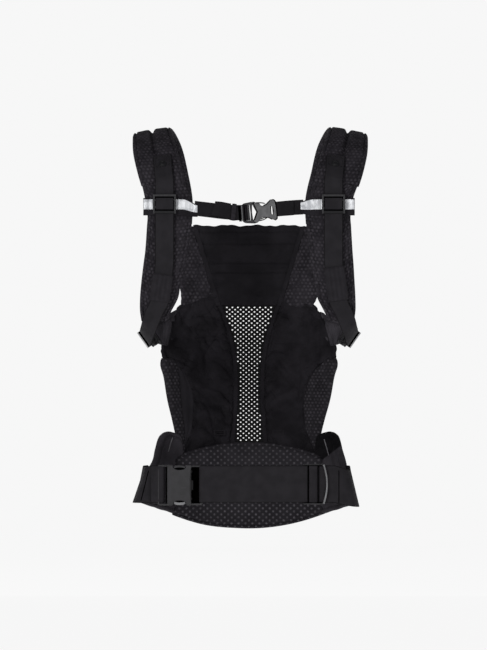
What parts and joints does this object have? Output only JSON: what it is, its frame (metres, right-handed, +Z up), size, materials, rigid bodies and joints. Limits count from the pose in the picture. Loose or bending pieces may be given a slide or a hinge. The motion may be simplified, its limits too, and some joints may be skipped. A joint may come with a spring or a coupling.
{
  "type": "soft baby carrier",
  "caption": "Soft structured carrier with padded shoulder straps, buckled chest strap and waistbelt, and a front body panel with an open mesh window and folding head support.",
  "frame": {"origin": "middle of the waist loop, at the height of the waist webbing's centre line", "axes": "+Z up along the wearer's spine, +Y from the wearer's back towards the body panel, +X to the wearer's right"},
  "size_m": [0.3174, 0.2381, 0.5434],
  "materials": {
    "smooth_fabric": "smooth black woven lining fabric",
    "spacer_mesh": "black padded spacer mesh with small dimples",
    "webbing": "black woven webbing",
    "elastic": "black knitted elastic",
    "acetal": "satin black moulded plastic",
    "reflective_tape": "silver reflective tape"
  },
  "bodies": {
    "harness": {"waist_pad": "spacer_mesh", "waist_wing_left": "spacer_mesh", "waist_wing_right": "spacer_mesh", "waist_webbing_left": "webbing", "waist_webbing_right": "webbing", "waist_socket": "acetal", "mesh_window": "smooth_fabric", "window_band_left": "smooth_fabric", "window_band_right": "smooth_fabric", "neck_panel": "smooth_fabric", "upper_side_panel_left": "spacer_mesh", "upper_side_panel_right": "spacer_mesh", "seat_panel_left": "smooth_fabric", "seat_panel_right": "smooth_fabric", "leg_pad_left": "spacer_mesh", "leg_pad_right": "spacer_mesh", "side_wing_left": "smooth_fabric", "side_wing_right": "smooth_fabric", "side_webbing_left": "webbing", "side_webbing_right": "webbing", "side_left_socket": "acetal", "side_right_socket": "acetal", "shoulder_pad_left": "spacer_mesh", "shoulder_pad_right": "spacer_mesh", "shoulder_webbing_left": "webbing", "shoulder_webbing_right": "webbing"},
    "waist_plug_body": {"waist_plug": "acetal"},
    "waist_release_upper_arm": {"waist_release_upper": "acetal"},
    "waist_release_lower_arm": {"waist_release_lower": "acetal"},
    "waist_adjuster_body": {"waist_adjuster": "acetal"},
    "chest_strap": {"chest_slider_left": "acetal", "chest_slider_right": "acetal", "chest_band_left": "smooth_fabric", "chest_band_right": "smooth_fabric", "reflective_tape_left": "reflective_tape", "reflective_tape_right": "reflective_tape", "chest_webbing_left": "webbing", "chest_webbing_right": "webbing", "chest_socket": "acetal"},
    "chest_plug_body": {"chest_plug": "acetal"},
    "chest_release_upper_arm": {"chest_release_upper": "acetal"},
    "chest_release_lower_arm": {"chest_release_lower": "acetal"},
    "chest_keeper_body": {"chest_keeper": "elastic"},
    "side_left_plug_body": {"side_left_plug": "acetal"},
    "side_left_release_upper_arm": {"side_left_release_upper": "acetal"},
    "side_left_release_lower_arm": {"side_left_release_lower": "acetal"},
    "side_right_plug_body": {"side_right_plug": "acetal"},
    "side_right_release_upper_arm": {"side_right_release_upper": "acetal"},
    "side_right_release_lower_arm": {"side_right_release_lower": "acetal"},
    "strap_keeper_left_body": {"strap_keeper_left": "elastic"},
    "strap_keeper_right_body": {"strap_keeper_right": "elastic"},
    "seat_adjuster_left_body": {"seat_adjuster_left": "acetal"},
    "seat_adjuster_right_body": {"seat_adjuster_right": "acetal"},
    "head_flap": {"head_support": "smooth_fabric"}
  },
  "joints": [
    {"name": "waist_unplug", "type": "slide", "parent": "harness", "child": "waist_plug_body", "axis": [1, 0, 0], "range_m": [0, 0.034], "deforming": ["waist_webbing_right"]},
    {"name": "waist_release_upper_press", "type": "hinge", "parent": "waist_plug_body", "child": "waist_release_upper_arm", "pos_m": [-0.077, -0.0965, 0.01918], "axis": [0, -1, 0], "range_deg": [0, 9], "stiffness_Nm_per_rad": 0.12},
    {"name": "waist_release_lower_press", "type": "hinge", "parent": "waist_plug_body", "child": "waist_release_lower_arm", "pos_m": [-0.077, -0.0965, -0.01918], "axis": [0, 1, 0], "range_deg": [0, 9], "stiffness_Nm_per_rad": 0.12},
    {"name": "waist_adjuster_slide", "type": "slide", "parent": "harness", "child": "waist_adjuster_body", "axis": [1, 0, 0], "range_m": [-0.06, 0.008]},
    {"name": "chest_height", "type": "slide", "parent": "harness", "child": "chest_strap", "axis": [0, 0, 1], "range_m": [-0.055, 0.018]},
    {"name": "chest_unplug", "type": "slide", "parent": "chest_strap", "child": "chest_plug_body", "axis": [-0.995, 0, -0.0995], "range_m": [0, 0.024], "deforming": ["chest_webbing_left"]},
    {"name": "chest_release_upper_press", "type": "hinge", "parent": "chest_plug_body", "child": "chest_release_upper_arm", "pos_m": [0.00214, -0.1028, 0.37461], "axis": [0, 1, 0], "range_deg": [0, 8.5], "stiffness_Nm_per_rad": 0.03},
    {"name": "chest_release_lower_press", "type": "hinge", "parent": "chest_plug_body", "child": "chest_release_lower_arm", "pos_m": [0.00386, -0.1028, 0.35739], "axis": [0, -1, 0], "range_deg": [0, 8.5], "stiffness_Nm_per_rad": 0.03},
    {"name": "chest_keeper_slide", "type": "slide", "parent": "chest_plug_body", "child": "chest_keeper_body", "axis": [0.9973, 0, -0.0736], "range_m": [-0.004, 0.01]},
    {"name": "side_left_unplug", "type": "slide", "parent": "harness", "child": "side_left_plug_body", "axis": [-0.1266, -0.9884, -0.0844], "range_m": [0, 0.027], "deforming": ["shoulder_webbing_left"]},
    {"name": "side_left_release_upper_press", "type": "hinge", "parent": "side_left_plug_body", "child": "side_left_release_upper_arm", "pos_m": [-0.14061, -0.03891, 0.20771], "axis": [-0.8097, 0.1521, -0.5668], "range_deg": [0, 8.5], "stiffness_Nm_per_rad": 0.05},
    {"name": "side_left_release_lower_press", "type": "hinge", "parent": "side_left_plug_body", "child": "side_left_release_lower_arm", "pos_m": [-0.12842, -0.03898, 0.19027], "axis": [0.8097, -0.1521, 0.5668], "range_deg": [0, 8.5], "stiffness_Nm_per_rad": 0.05},
    {"name": "side_right_unplug", "type": "slide", "parent": "harness", "child": "side_right_plug_body", "axis": [0.1266, -0.9884, -0.0844], "range_m": [0, 0.027], "deforming": ["shoulder_webbing_right"]},
    {"name": "side_right_release_upper_press", "type": "hinge", "parent": "side_right_plug_body", "child": "side_right_release_upper_arm", "pos_m": [0.14061, -0.03891, 0.20771], "axis": [-0.8097, -0.1521, 0.5668], "range_deg": [0, 8.5], "stiffness_Nm_per_rad": 0.05},
    {"name": "side_right_release_lower_press", "type": "hinge", "parent": "side_right_plug_body", "child": "side_right_release_lower_arm", "pos_m": [0.12842, -0.03898, 0.19027], "axis": [0.8097, 0.1521, -0.5668], "range_deg": [0, 8.5], "stiffness_Nm_per_rad": 0.05},
    {"name": "strap_keeper_left_slide", "type": "slide", "parent": "harness", "child": "strap_keeper_left_body", "axis": [-0.2463, 0, -0.9692], "range_m": [-0.01, 0.01]},
    {"name": "strap_keeper_right_slide", "type": "slide", "parent": "harness", "child": "strap_keeper_right_body", "axis": [0.2463, 0, -0.9692], "range_m": [-0.01, 0.01]},
    {"name": "seat_adjuster_left_slide", "type": "slide", "parent": "harness", "child": "seat_adjuster_left_body", "axis": [-0.9571, -0.2899, 0], "range_m": [-0.006, 0.008]},
    {"name": "seat_adjuster_right_slide", "type": "slide", "parent": "harness", "child": "seat_adjuster_right_body", "axis": [0.9571, -0.2899, 0], "range_m": [-0.006, 0.008]},
    {"name": "head_support_fold", "type": "hinge", "parent": "harness", "child": "head_flap", "pos_m": [0, 0.10991, 0.29], "axis": [-1, 0, 0], "range_deg": [0, 150]}
  ],
  "couplings": [
    {"joint": "waist_release_lower_press", "follows": "waist_release_upper_press", "ratio": 1},
    {"joint": "chest_release_lower_press", "follows": "chest_release_upper_press", "ratio": 1},
    {"joint": "side_left_release_lower_press", "follows": "side_left_release_upper_press", "ratio": 1},
    {"joint": "side_right_release_lower_press", "follows": "side_right_release_upper_press", "ratio": 1}
  ]
}
